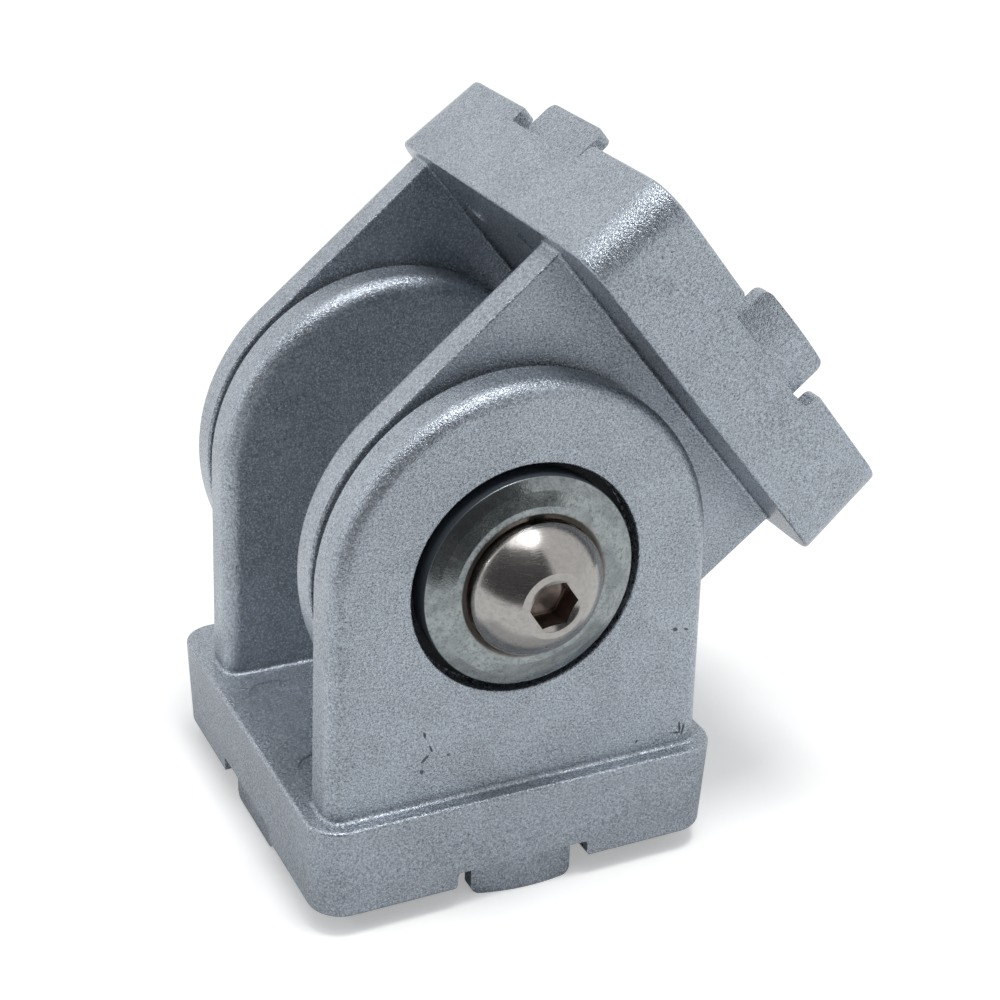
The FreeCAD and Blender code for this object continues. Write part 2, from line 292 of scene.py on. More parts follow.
def build_scratches():
    """Sparse hairlines in two directions, from 0 to 1."""
    tree, given, out = node_group(
        "hairlines",
        [("Place", "NodeSocketVector", None), ("Spacing", "NodeSocketFloat", 1.5 * MM)],
        [("Lines", "NodeSocketFloat")],
    )
    scale = math_node(tree, "DIVIDE", 1.0, given.outputs["Spacing"])
    masks = []
    for turn in (0.5, 1.9):
        mapping = tree.nodes.new("ShaderNodeMapping")
        tree.links.new(given.outputs["Place"], mapping.inputs["Vector"])
        mapping.inputs["Rotation"].default_value = (0.3, turn, 0.1)
        mapping.inputs["Scale"].default_value = (0.16, 1.0, 3.2)
        value = noise(tree, mapping.outputs["Vector"], scale, 1.0, 0.4, 0.2)
        distance = math_node(tree, "ABSOLUTE", math_node(tree, "SUBTRACT", value, 0.5))
        masks.append(ramp_between(tree, distance, 0.012, 0.002))
    tree.links.new(math_node(tree, "MAXIMUM", masks[0], masks[1]), out.inputs["Lines"])
    return tree


def build_pits():
    """Strokes and specks where the casting's skin broke, on the lower half's outer ear, from 0 to 1."""
    tree, given, out = node_group(
        "casting_pits", [("Place", "NodeSocketVector", None)], [("Pits", "NodeSocketFloat")]
    )
    wander = tree.nodes.new("ShaderNodeTexNoise")
    tree.links.new(given.outputs["Place"], wander.inputs["Vector"])
    wander.inputs["Scale"].default_value = 1 / (0.12 * MM)
    wander.inputs["Detail"].default_value = 2.0
    shift = tree.nodes.new("ShaderNodeVectorMath")
    shift.operation = "MULTIPLY_ADD"
    tree.links.new(wander.outputs["Color"], shift.inputs[0])
    shift.inputs[1].default_value = (PIT_RAGGEDNESS * MM,) * 3
    tree.links.new(given.outputs["Place"], shift.inputs[2])
    mean_shift = Vector((PIT_RAGGEDNESS / 2,) * 3)
    union = 0.0
    for x, z, length, width, lean in PITS:
        mapping = tree.nodes.new("ShaderNodeMapping")
        mapping.vector_type = "TEXTURE"
        tree.links.new(shift.outputs[0], mapping.inputs["Vector"])
        mapping.inputs["Location"].default_value = (Vector((x, EAR_FACE, z)) + mean_shift) * MM
        mapping.inputs["Rotation"].default_value = (0, -math.radians(lean), 0)
        mapping.inputs["Scale"].default_value = (length * MM, MM, width * MM)
        reach = tree.nodes.new("ShaderNodeVectorMath")
        reach.operation = "LENGTH"
        tree.links.new(mapping.outputs[0], reach.inputs[0])
        union = math_node(tree, "MAXIMUM", ramp_between(tree, reach.outputs["Value"], 1.5, 0.7), union)
    tree.links.new(union, out.inputs["Pits"])
    return tree


GRAIN = build_grain()
MOTTLE = build_mottle()
TURNED = build_turned()
SCRATCHES = build_scratches()
CASTING_PITS = build_pits()


# Finishes

PAINT_DARK = (0.088, 0.098, 0.111, 1)
PAINT_LIGHT = (0.49, 0.541, 0.606, 1)
# Dark colour of the pits: painted shade inside them
PIT_SHADE_COLOUR = (0.07, 0.08, 0.095, 1)
# Unpainted counterbore metal, darkened to near black as painted shade in that deep gap
BARE_AND_SHADE_DARK = (0.004, 0.005, 0.007, 1)
BARE_AND_SHADE_LIGHT = (0.022, 0.024, 0.032, 1)
PAINT_METAL = 0.72
PAINT_ROUGHNESS = 0.25
PAINT_TONE = 0.61
GRAIN_SHARE = 1.55
SPECK_SHARE = 0.3
CLOUD_SHARE = 0.1
GRAIN_SIZE = 0.17
GRAIN_HEIGHT = 0.035
SPECK_SIZE = 0.3
SPECK_HEIGHT = 0.02
PIT_DEPTH = 0.8

ZINC_DARK = (0.21, 0.233, 0.238, 1)
ZINC_LIGHT = (0.30, 0.328, 0.33, 1)
ZINC_FLECK = (0.14, 0.156, 0.159, 1)
ZINC_INNER_SLOPE = (0.20, 0.19, 0.178, 1)
# Slate colour of the washer's outer side wall: painted shade and reflection from the dark counterbore
ZINC_SIDE_SHADE = (0.055, 0.067, 0.083, 1)

STAINLESS_LIGHT = (0.36, 0.345, 0.33, 1)
STAINLESS_DARK = (0.32, 0.31, 0.30, 1)
# Grease-brown socket colours, kept dark as painted shade on the socket walls
GREASE_AND_SHADE_DARK = (0.17, 0.145, 0.13, 1)
GREASE_AND_SHADE_LIGHT = (0.32, 0.25, 0.22, 1)

SPRING_LIGHT = (0.50, 0.45, 0.40, 1)
SPRING_DARK = (0.36, 0.33, 0.30, 1)
BUSH_LIGHT = (0.45, 0.44, 0.42, 1)
BUSH_DARK = (0.35, 0.34, 0.33, 1)

DISC_DARK = (0.018, 0.019, 0.021, 1)
DISC_LIGHT = (0.05, 0.052, 0.056, 1)


def finish_named(name):
    """New material with its Principled shader."""
    material = bpy.data.materials.new(name)
    material.use_nodes = True
    tree = material.node_tree
    return material, tree, tree.nodes["Principled BSDF"]


def bumped(tree, height, distance, strength=1.0, under=None):
    """Normal of a bumpy skin, on top of another one where it is given."""
    node = tree.nodes.new("ShaderNodeBump")
    node.inputs["Strength"].default_value = strength
    node.inputs["Distance"].default_value = distance
    tree.links.new(height, node.inputs["Height"])
    if under is not None:
        tree.links.new(under, node.inputs["Normal"])
    return node.outputs["Normal"]


def silver_paint():
    """Silver spray paint over a die casting, with the counterbore's unpainted wall coloured near black as
    painted shade.
    """
    material, tree, shader = finish_named("silver_paint")
    place = object_place(tree)
    grain = placed(tree, GRAIN, Place=place, Grain_Size=GRAIN_SIZE * MM, Contrast=1.0)
    specks = placed(tree, GRAIN, Place=place, Grain_Size=SPECK_SIZE * MM, Contrast=1.0)
    clouds = placed(tree, MOTTLE, Place=place, Patch_Size=4.0 * MM)
    pits = placed(tree, CASTING_PITS, Place=place)

    centred = pivot_place(tree)
    rings = placed(tree, TURNED, Place=centred, Ring_Width=0.3 * MM)
    ragged = math_node(tree, "MULTIPLY", specks.outputs["Height"], 0.3 * MM)
    edge = math_node(tree, "ADD", rings.outputs["Radius"], ragged)
    wall = COUNTERBORE_RADIUS * MM
    inside = ramp_between(tree, edge, wall + 0.02 * MM, wall - 0.06 * MM)
    floor = -COUNTERBORE_FLOOR * MM
    outboard = ramp_between(tree, outboard_distance(tree, centred), floor - 0.3 * MM, floor - 0.1 * MM)
    bare_and_shaded = math_node(tree, "MULTIPLY", inside, outboard)

    tone = math_node(tree, "MULTIPLY_ADD", grain.outputs["Tone"], GRAIN_SHARE, PAINT_TONE)
    tone = math_node(tree, "MULTIPLY_ADD", specks.outputs["Tone"], SPECK_SHARE, tone)
    tone = math_node(tree, "MULTIPLY_ADD", clouds.outputs["Patches"], CLOUD_SHARE, tone, clamp=True)
    paint = mix_colour(tree, tone, PAINT_DARK, PAINT_LIGHT)
    # The pits are dents from the bump below; their dark colour is painted shade inside them
    paint = mix_colour(tree, pits.outputs["Pits"], paint, PIT_SHADE_COLOUR)
    # Painted shade: the unpainted counterbore wall gets a near-black colour for the shade in the gap
    dark = mix_colour(tree, clouds.outputs["Flecks"], BARE_AND_SHADE_DARK, BARE_AND_SHADE_LIGHT)
    tree.links.new(mix_colour(tree, bare_and_shaded, paint, dark), shader.inputs["Base Color"])
    rough = math_node(tree, "MULTIPLY_ADD", grain.outputs["Tone"], 0.2, PAINT_ROUGHNESS)
    tree.links.new(math_node(tree, "MULTIPLY_ADD", bare_and_shaded, 0.25, rough), shader.inputs["Roughness"])
    metal = math_node(tree, "MULTIPLY_ADD", bare_and_shaded, -0.45, PAINT_METAL)
    tree.links.new(metal, shader.inputs["Metallic"])
    normal = bumped(tree, specks.outputs["Height"], SPECK_HEIGHT * MM)
    sunk = math_node(tree, "MULTIPLY_ADD", pits.outputs["Pits"], -PIT_DEPTH, grain.outputs["Height"])
    normal = bumped(tree, sunk, GRAIN_HEIGHT * MM, 1.0, normal)
    tree.links.new(normal, shader.inputs["Normal"])
    return material


def zinc_plating():
    """Dull zinc plate, clouded and handled, with its outer side wall coloured dark slate as painted shade and
    reflection of the counterbore.
    """
    material, tree, shader = finish_named("dull_zinc_plating")
    place = object_place(tree)
    clouds = placed(tree, MOTTLE, Place=place, Patch_Size=2.2 * MM)
    grain = placed(tree, GRAIN, Place=place, Grain_Size=0.26 * MM, Contrast=2.0)
    rings = placed(tree, TURNED, Place=pivot_place(tree), Ring_Width=0.2 * MM)
    radius = rings.outputs["Radius"]
    side = ramp_between(tree, radius, (WASHER_RADIUS - 0.05) * MM, (WASHER_RADIUS - 0.01) * MM)
    slope = ramp_between(tree, radius, (CREST_RADIUS - 0.1) * MM, (CREST_RADIUS - 0.35) * MM)
    colour = mix_colour(tree, clouds.outputs["Patches"], ZINC_DARK, ZINC_LIGHT)
    flecks = math_node(
        tree, "MULTIPLY_ADD", clouds.outputs["Flecks"], 0.4, grain.outputs["Tone"], clamp=True
    )
    colour = mix_colour(tree, flecks, colour, ZINC_FLECK)
    colour = mix_colour(tree, slope, colour, ZINC_INNER_SLOPE)
    # Painted shade: the outer side wall, facing the dark counterbore, gets the slate colour and less metal
    tree.links.new(mix_colour(tree, side, colour, ZINC_SIDE_SHADE), shader.inputs["Base Color"])
    rough = math_node(tree, "MULTIPLY_ADD", clouds.outputs["Flecks"], 0.1, 0.16)
    rough = math_node(tree, "MULTIPLY_ADD", grain.outputs["Tone"], 0.05, rough)
    rough = math_node(tree, "MULTIPLY_ADD", slope, 0.25, rough)
    tree.links.new(math_node(tree, "MULTIPLY_ADD", side, 0.3, rough), shader.inputs["Roughness"])
    tree.links.new(math_node(tree, "MULTIPLY_ADD", side, -0.8, 1.0), shader.inputs["Metallic"])
    tree.links.new(bumped(tree, grain.outputs["Height"], 0.006 * MM, 0.8), shader.inputs["Normal"])
    return material


def polished_stainless():
    """Tumbled, nearly mirror-bright stainless steel, with old grease in the hexagon socket, whose walls are
    coloured darker as painted shade.
    """
    material, tree, shader = finish_named("polished_stainless")
    place = object_place(tree)
    clouds = placed(tree, MOTTLE, Place=place, Patch_Size=1.6 * MM)
    grain = placed(tree, GRAIN, Place=place, Grain_Size=0.2 * MM, Contrast=1.0)
    lines = placed(tree, SCRATCHES, Place=place, Spacing=1.0 * MM)
    centred = pivot_place(tree)
    rings = placed(tree, TURNED, Place=centred, Ring_Width=0.2 * MM)
    mouth = HEAD_HEIGHT - HEAD_SEAT
    within = ramp_between(tree, outboard_distance(tree, centred), (mouth - 0.2) * MM, (mouth - 0.35) * MM)
    inner = ramp_between(tree, rings.outputs["Radius"], (SOCKET_CORNER + 0.1) * MM, SOCKET_CORNER * MM)
    socket = math_node(tree, "MULTIPLY", within, inner)
    colour = mix_colour(tree, clouds.outputs["Flecks"], STAINLESS_LIGHT, STAINLESS_DARK)
    # Painted shade: the socket walls get the dark grease colour
    greased_and_shaded = mix_colour(tree, clouds.outputs["Patches"], GREASE_AND_SHADE_DARK, GREASE_AND_SHADE_LIGHT)
    tree.links.new(mix_colour(tree, socket, colour, greased_and_shaded), shader.inputs["Base Color"])
    rough = math_node(tree, "MULTIPLY_ADD", clouds.outputs["Flecks"], 0.05, 0.18)
    rough = math_node(tree, "MULTIPLY_ADD", lines.outputs["Lines"], 0.1, rough)
    tree.links.new(math_node(tree, "MULTIPLY_ADD", socket, 0.15, rough), shader.inputs["Roughness"])
    shader.inputs["Metallic"].default_value = 1.0
    tree.links.new(bumped(tree, grain.outputs["Height"], 0.003 * MM, 0.5), shader.inputs["Normal"])
    return material


def oiled_steel(name, light, dark, roughness):
    """Plain steel with a thin oil film, for the spring washers and the threaded inserts."""
    material, tree, shader = finish_named(name)
    place = object_place(tree)
    clouds = placed(tree, MOTTLE, Place=place, Patch_Size=1.2 * MM)
    grain = placed(tree, GRAIN, Place=place, Grain_Size=0.15 * MM, Contrast=1.0)
    tree.links.new(mix_colour(tree, clouds.outputs["Patches"], light, dark), shader.inputs["Base Color"])
    rough = math_node(tree, "MULTIPLY_ADD", clouds.outputs["Flecks"], 0.1, roughness)
    tree.links.new(rough, shader.inputs["Roughness"])
    shader.inputs["Metallic"].default_value = 1.0
    tree.links.new(bumped(tree, grain.outputs["Height"], 0.008 * MM, 0.5), shader.inputs["Normal"])
    return material


def disc_plastic():
    """Dark moulded friction disc."""
    material, tree, shader = finish_named("moulded_disc_plastic")
    centred = pivot_place(tree)
    rings = placed(tree, TURNED, Place=centred, Ring_Width=0.12 * MM)
    grain = placed(tree, GRAIN, Place=centred, Grain_Size=0.1 * MM, Contrast=1.0)
    tone = math_node(tree, "MULTIPLY_ADD", grain.outputs["Tone"], 0.4, 0.5, clamp=True)
    tree.links.new(mix_colour(tree, tone, DISC_DARK, DISC_LIGHT), shader.inputs["Base Color"])
    rough = math_node(tree, "MULTIPLY_ADD", grain.outputs["Tone"], 0.15, 0.5)
    tree.links.new(rough, shader.inputs["Roughness"])
    tree.links.new(bumped(tree, rings.outputs["Height"], 0.01 * MM, 0.5), shader.inputs["Normal"])
    return material


FINISHES = {
    "cast_paint": silver_paint(),
    "zinc_plate": zinc_plating(),
    "stainless_screw": polished_stainless(),
    "spring_steel": oiled_steel("spring_wire_steel", SPRING_LIGHT, SPRING_DARK, 0.34),
    "insert_steel": oiled_steel("turned_bush_steel", BUSH_LIGHT, BUSH_DARK, 0.28),
    "disc_polymer": disc_plastic(),
}


# Pieces

def as_upper():
    """From the lower half's place to the upper one's: turned end for end, then leaned about the pivot."""
    end_for_end = Matrix.Rotation(math.pi, 4, "X")
    lean = Matrix.Rotation(TILT, 4, "Y")
    return Matrix.Translation(PIVOT) @ lean @ end_for_end @ Matrix.Translation(-PIVOT)


def linked(name, mesh):
    """A new piece of the scene, at the origin."""
    piece = bpy.data.objects.new(name, mesh)
    scene.collection.objects.link(piece)
    return piece


def dressed(piece, node, slot):
    """Give a piece its finish and let it stand for a node, on the node's own body."""
    piece.data.materials.clear()
    piece.data.materials.append(FINISHES[slot])
    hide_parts(node)
    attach(piece, frame["nodes"][node]["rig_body"])
    return piece


def smooth(mesh, degrees):
    """Smooth faces, with edges sharper than the angle kept crisp."""
    for polygon in mesh.polygons:
        polygon.use_smooth = True
    bm = bmesh.new()
    bm.from_mesh(mesh)
    limit = math.radians(degrees)
    for edge in bm.edges:
        edge.smooth = not (len(edge.link_faces) == 2 and edge.calc_face_angle(0) > limit)
    bm.to_mesh(mesh)
    bm.free()


def weighted(piece):
    """Normals that keep broad faces flat beside their rounds, written into a plain mesh."""
    modifier = piece.modifiers.new("flat_faces_stay_flat", "WEIGHTED_NORMAL")
    modifier.mode = "FACE_AREA"
    modifier.weight = 100
    modifier.keep_sharp = True
    graph = bpy.context.evaluated_depsgraph_get()
    graph.update()
    plain = bpy.data.meshes.new_from_object(piece.evaluated_get(graph), depsgraph=graph)
    piece.modifiers.clear()
    piece.data = plain
    return piece


def casting(name, node):
    """A casting's skin: its solid's, with the loose triangles joined and the faces smoothed."""
    mesh = frame["nodes"][node].data.copy()
    mesh.name = name
    bm = bmesh.new()
    bm.from_mesh(mesh)
    bmesh.ops.remove_doubles(bm, verts=bm.verts, dist=WELD_DISTANCE)
    bm.to_mesh(mesh)
    bm.free()
    smooth(mesh, 32)
    return weighted(linked(name, mesh))


def polar_mesh(name, rows, segments, start, closed=False):
    """Mesh about the pivot axis from rows of (radius, y) points in millimetres.

    A row holds one point that serves all round, or one for each segment.
    Where closed is set, the last row is joined to the first.
    """
    bm = bmesh.new()
    rings = []
    for row in rows:
        if len(row) == 1 and row[0][0] == 0:
            rings.append([bm.verts.new((0, row[0][1] * MM, PIVOT.z))])
            continue
        ring = []
        for k in range(segments):
            radius, y = row[k % len(row)]
            turn = start + 2 * math.pi * k / segments
            across, height = radius * MM * math.cos(turn), radius * MM * math.sin(turn)
            ring.append(bm.verts.new((across, y * MM, PIVOT.z + height)))
        rings.append(ring)
    pairs = list(zip(rings, rings[1:])) + ([(rings[-1], rings[0])] if closed else [])
    for one, two in pairs:
        for k in range(segments):
            n = (k + 1) % segments
            corners = [one[k % len(one)], one[n % len(one)], two[n % len(two)], two[k % len(two)]]
            distinct = [corner for i, corner in enumerate(corners) if corner not in corners[:i]]
            if len(distinct) > 2:
                bm.faces.new(distinct)
    bmesh.ops.recalc_face_normals(bm, faces=bm.faces)
    mesh = bpy.data.meshes.new(name)
    bm.to_mesh(mesh)
    bm.free()
    return mesh


def turned_mesh(name, profile, segments=192):
    """Closed ring turned about the pivot axis from (radius, y) points in millimetres."""
    return polar_mesh(name, [[point] for point in profile], segments, 0, True)


def rounded(points, radii, steps=5):
    """Closed outline with its corners rounded, by one radius for each point."""
    out = []
    for i, (point, radius) in enumerate(zip(points, radii)):
        here = Vector(point)
        before = (Vector(points[i - 1]) - here).normalized()
        after = (Vector(points[(i + 1) % len(points)]) - here).normalized()
        half = before.angle(after) / 2
        reach = radius / math.tan(half)
        start, end = here + before * reach, here + after * reach
        centre = here + (before + after).normalized() * (radius / math.sin(half))
        one, two = start - centre, end - centre
        sweep = one.angle(two)
        for k in range(steps + 1):
            turned = sweep * k / steps
            arm = (one * math.sin(sweep - turned) + two * math.sin(turned)) / math.sin(sweep)
            out.append(tuple(centre + arm))
    return out


def cup_washer_mesh(name):
    """Domed washer with a pocket for the spring washer, hollow underneath."""
    corners = [
        # radius, height over the counterbore's floor, round of the corner
        (WASHER_RADIUS, 0, 0.1),
        (WASHER_RADIUS, WASHER_RIM_HEIGHT, 0.17),
        (SHOULDER_RADIUS, SHOULDER_HEIGHT, 0.25),
        (CREST_RADIUS + CREST_WIDTH / 2, CREST_HEIGHT, 0.45),
        (CREST_RADIUS - CREST_WIDTH / 2, CREST_HEIGHT, 0.35),
        (POCKET_RADIUS, POCKET_TOP, 0.12),
        (POCKET_RADIUS, POCKET_FLOOR, WASHER_INNER_ROUND),
        (WASHER_HOLE_RADIUS, POCKET_FLOOR, WASHER_INNER_ROUND),
        (WASHER_HOLE_RADIUS, WASHER_HOLLOW_DEPTH, WASHER_INNER_ROUND),
        (WASHER_HOLLOW_RADIUS, WASHER_HOLLOW_DEPTH, 0.2),
        (WASHER_HOLLOW_MOUTH_RADIUS, 0, 0.1),
    ]
    points = [(radius, COUNTERBORE_FLOOR - height) for radius, height, _ in corners]
    return turned_mesh(name, rounded(points, [corner[2] for corner in corners]))


def screw_mesh(name):
    """Button head with a hexagon socket, its mouth cut round, on a plain shank with its thread's core."""
    segments = 180
    tip = HEAD_SEAT + SCREW_LENGTH
    shank = [
        (0.0, tip),
        (THREAD_CORE_RADIUS - TIP_CHAMFER, tip),
        (THREAD_CORE_RADIUS, tip - TIP_CHAMFER),
        (THREAD_CORE_RADIUS, HEAD_SEAT + RUNOUT_END),
        (SHANK_RADIUS - SHANK_PLAY, HEAD_SEAT + RUNOUT_START),
        (SHANK_RADIUS - SHANK_PLAY, HEAD_SEAT + 0.15),
        (SHANK_RADIUS + 0.02, HEAD_SEAT),
    ]
    rim, top, rise = HEAD_RADIUS, HEAD_TOP_RADIUS, HEAD_HEIGHT - HEAD_RIM_HEIGHT
    head_base = [
        (rim - HEAD_BASE_ROUND, HEAD_SEAT),
        (rim - HEAD_BASE_ROUND / 3, HEAD_SEAT - HEAD_BASE_ROUND / 3),
        (rim, HEAD_SEAT - HEAD_BASE_ROUND),
        (rim - 0.01, HEAD_SEAT - 0.2),
    ]

    centre_depth = (rim * rim - top * top - rise * rise) / (2 * rise)
    ball = math.hypot(rim, centre_depth)
    centre_y = HEAD_SEAT - HEAD_RIM_HEIGHT + centre_depth
    low, high = math.asin(top / ball), math.asin(rim / ball)
    dome_steps = 24
    slopes = [high + (low - high) * k / dome_steps for k in range(1, dome_steps + 1)]
    dome = [(ball * math.sin(slope), centre_y - ball * math.cos(slope)) for slope in slopes]

    mouth = HEAD_SEAT - HEAD_HEIGHT
    lead_depth = mouth + 0.015
    flat_top = [
        (top - 0.06, mouth + 0.004),
        (top - 0.14, mouth),
        (SOCKET_LEAD + 0.05, mouth),
        (SOCKET_LEAD, lead_depth),
    ]
    rows = [[point] for point in shank + head_base + dome + flat_top]

    corner_turn = math.pi / 3
    walls = [
        SOCKET_FLAT / math.cos((2 * math.pi * k / segments) % corner_turn - corner_turn / 2)
        for k in range(segments)
    ]
    for share in (0.33, 0.66, 1.0):
        steps = [(wall - SOCKET_LEAD) * share for wall in walls]
        rows.append([(SOCKET_LEAD + step, lead_depth - step / 2) for step in steps])
    for depth in (0.8, 1.3, SOCKET_DEPTH - 0.05):
        rows.append([(wall, mouth + depth) for wall in walls])
    floor = mouth + SOCKET_DEPTH
    rows.append([(wall - 0.05, floor) for wall in walls])
    rows.append([(SOCKET_FLAT - 0.1, floor)])
    rows.append([(SOCKET_FLAT - 0.2, floor + 0.05)])
    rows.append([(0.0, floor + DRILL_POINT)])
    return polar_mesh(name, rows, segments, SOCKET_TURN)


# Shapes that a rule makes: the screws' threads and the split spring washers

def geometry_group(name, inputs):
    """Geometry group with a mesh output and the given inputs (name, socket type, default)."""
    tree = bpy.data.node_groups.new(name, "GeometryNodeTree")
    for label, kind, default in inputs:
        socket = tree.interface.new_socket(label, in_out="INPUT", socket_type=kind)
        if default is not None:
            socket.default_value = default
    tree.interface.new_socket("Mesh", in_out="OUTPUT", socket_type="NodeSocketGeometry")
    return tree, tree.nodes.new("NodeGroupInput"), tree.nodes.new("NodeGroupOutput")


def finished(tree, given, out, mesh):
    """End of a geometry group: instances made real, the finish set."""
    real = tree.nodes.new("GeometryNodeRealizeInstances")
    tree.links.new(mesh, real.inputs["Geometry"])
    coat = tree.nodes.new("GeometryNodeSetMaterial")
    tree.links.new(real.outputs["Geometry"], coat.inputs["Geometry"])
    tree.links.new(given.outputs["Finish"], coat.inputs["Material"])
    tree.links.new(coat.outputs["Geometry"], out.inputs["Mesh"])


def onto_pivot_axis(tree, mesh, depth):
    """Turn a shape from the Z axis onto the pivot axis, and move it to a depth along that axis."""
    move = tree.nodes.new("ShaderNodeCombineXYZ")
    plug(tree, depth, move.inputs["Y"])
    move.inputs["Z"].default_value = PIVOT.z
    turned = tree.nodes.new("GeometryNodeTransform")
    tree.links.new(mesh, turned.inputs["Geometry"])
    tree.links.new(move.outputs[0], turned.inputs["Translation"])
    turned.inputs["Rotation"].default_value = (math.pi / 2, 0, 0)
    return turned.outputs["Geometry"]


def swept(tree, path, profile):
    """Solid of a profile that follows a path and stays upright."""
    steady = tree.nodes.new("GeometryNodeSetCurveNormal")
    steady.mode = "Z_UP"
    tree.links.new(path, steady.inputs["Curve"])
    sweep = tree.nodes.new("GeometryNodeCurveToMesh")
    tree.links.new(steady.outputs["Curve"], sweep.inputs["Curve"])
    tree.links.new(profile, sweep.inputs["Profile Curve"])
    sweep.inputs["Fill Caps"].default_value = True
    return sweep.outputs["Mesh"]


def build_thread():
    """Helical ridge round a screw's core, added to the given screw."""
    tree, given, out = geometry_group(
        "helical_thread",
        [
            ("Screw", "NodeSocketGeometry", None),
            ("Core Radius", "NodeSocketFloat", 2 * MM),
            ("Ridge Height", "NodeSocketFloat", 0.4 * MM),
            ("Pitch", "NodeSocketFloat", 0.8 * MM),
            ("Turns", "NodeSocketFloat", 5.0),
            ("Far End", "NodeSocketFloat", 0.0),
            ("Finish", "NodeSocketMaterial", None),
        ],
    )
    coil = tree.nodes.new("GeometryNodeCurveSpiral")
    coil.inputs["Resolution"].default_value = 96
    sunk = math_node(tree, "SUBTRACT", given.outputs["Core Radius"], 0.03 * MM)
    tree.links.new(given.outputs["Turns"], coil.inputs["Rotations"])
    tree.links.new(sunk, coil.inputs["Start Radius"])
    tree.links.new(sunk, coil.inputs["End Radius"])
    length = math_node(tree, "MULTIPLY", given.outputs["Pitch"], given.outputs["Turns"])
    tree.links.new(length, coil.inputs["Height"])
    ridge = tree.nodes.new("GeometryNodeCurvePrimitiveQuadrilateral")
    ridge.mode = "POINTS"
    crest = given.outputs["Ridge Height"]
    corners = ((0.0, 0.42), (crest, 0.07), (crest, -0.07), (0.0, -0.42))
    for number, (height, pitches) in enumerate(corners, 1):
        corner = tree.nodes.new("ShaderNodeCombineXYZ")
        plug(tree, height, corner.inputs["X"])
        tree.links.new(math_node(tree, "MULTIPLY", given.outputs["Pitch"], pitches), corner.inputs["Y"])
        tree.links.new(corner.outputs[0], ridge.inputs["Point %d" % number])
    coiled = swept(tree, coil.outputs["Curve"], ridge.outputs["Curve"])
    placed_coil = onto_pivot_axis(tree, coiled, given.outputs["Far End"])
    both = tree.nodes.new("GeometryNodeJoinGeometry")
    tree.links.new(given.outputs["Screw"], both.inputs["Geometry"])
    tree.links.new(placed_coil, both.inputs["Geometry"])
    finished(tree, given, out, both.outputs["Geometry"])
    return tree


def build_split_ring():
    """Flat ring of square wire with a slanted slit at its top."""
    tree, given, out = geometry_group(
        "split_ring",
        [
            ("Wire", "NodeSocketGeometry", None),
            ("Mean Radius", "NodeSocketFloat", 3.5 * MM),
            ("Width", "NodeSocketFloat", 2 * MM),
            ("Thickness", "NodeSocketFloat", 1.2 * MM),
            ("Gap", "NodeSocketFloat", 0.9 * MM),
            ("Slant", "NodeSocketFloat", 0.36),
            ("Corner Radius", "NodeSocketFloat", 0.12 * MM),
            ("Middle Depth", "NodeSocketFloat", 0.0),
            ("Finish", "NodeSocketMaterial", None),
        ],
    )
    opening = math_node(tree, "DIVIDE", given.outputs["Gap"], given.outputs["Mean Radius"])
    arc = tree.nodes.new("GeometryNodeCurveArc")
    arc.inputs["Resolution"].default_value = 145
    tree.links.new(given.outputs["Mean Radius"], arc.inputs["Radius"])
    tree.links.new(math_node(tree, "MULTIPLY_ADD", opening, 0.5, math.pi / 2), arc.inputs["Start Angle"])
    tree.links.new(math_node(tree, "SUBTRACT", 2 * math.pi, opening), arc.inputs["Sweep Angle"])
    section = tree.nodes.new("GeometryNodeCurvePrimitiveQuadrilateral")
    tree.links.new(given.outputs["Width"], section.inputs["Width"])
    tree.links.new(given.outputs["Thickness"], section.inputs["Height"])
    soft = tree.nodes.new("GeometryNodeFilletCurve")
    soft.mode = "POLY"
    soft.inputs["Count"].default_value = 4
    tree.links.new(section.outputs["Curve"], soft.inputs["Curve"])
    tree.links.new(given.outputs["Corner Radius"], soft.inputs["Radius"])
    wire = swept(tree, arc.outputs["Curve"], soft.outputs["Curve"])
    position = tree.nodes.new("GeometryNodeInputPosition")
    height = tree.nodes.new("ShaderNodeSeparateXYZ")
    tree.links.new(position.outputs[0], height.inputs[0])
    lean = math_node(tree, "MULTIPLY", height.outputs["Z"], given.outputs["Slant"])
    lean = math_node(tree, "DIVIDE", lean, given.outputs["Mean Radius"])
    turn = tree.nodes.new("ShaderNodeVectorRotate")
    turn.rotation_type = "Z_AXIS"
    tree.links.new(position.outputs[0], turn.inputs["Vector"])
    tree.links.new(math_node(tree, "MULTIPLY", lean, -1.0), turn.inputs["Angle"])
    slanted = tree.nodes.new("GeometryNodeSetPosition")
    tree.links.new(wire, slanted.inputs["Geometry"])
    tree.links.new(turn.outputs[0], slanted.inputs["Position"])
    ring = onto_pivot_axis(tree, slanted.outputs["Geometry"], given.outputs["Middle Depth"])
    finished(tree, given, out, ring)
    return tree


THREAD = build_thread()
SPLIT_RING = build_split_ring()


def grown(piece, group, **values):
    """Run a geometry group on a piece with named inputs, and keep the result as its plain mesh."""
    modifier = piece.modifiers.new(group.name, "NODES")
    modifier.node_group = group
    for item in group.interface.items_tree:
        key = item.name.replace(" ", "_")
        if item.in_out == "INPUT" and key in values:
            modifier[item.identifier] = values[key]
    graph = bpy.context.evaluated_depsgraph_get()
    graph.update()
    plain = bpy.data.meshes.new_from_object(piece.evaluated_get(graph), depsgraph=graph)
    piece.modifiers.remove(modifier)
    piece.data = plain
    bm = bmesh.new()
    bm.from_mesh(plain)
    bmesh.ops.remove_doubles(bm, verts=bm.verts, dist=WELD_DISTANCE)
    bmesh.ops.recalc_face_normals(bm, faces=bm.faces)
    bm.to_mesh(plain)
    bm.free()
    return piece


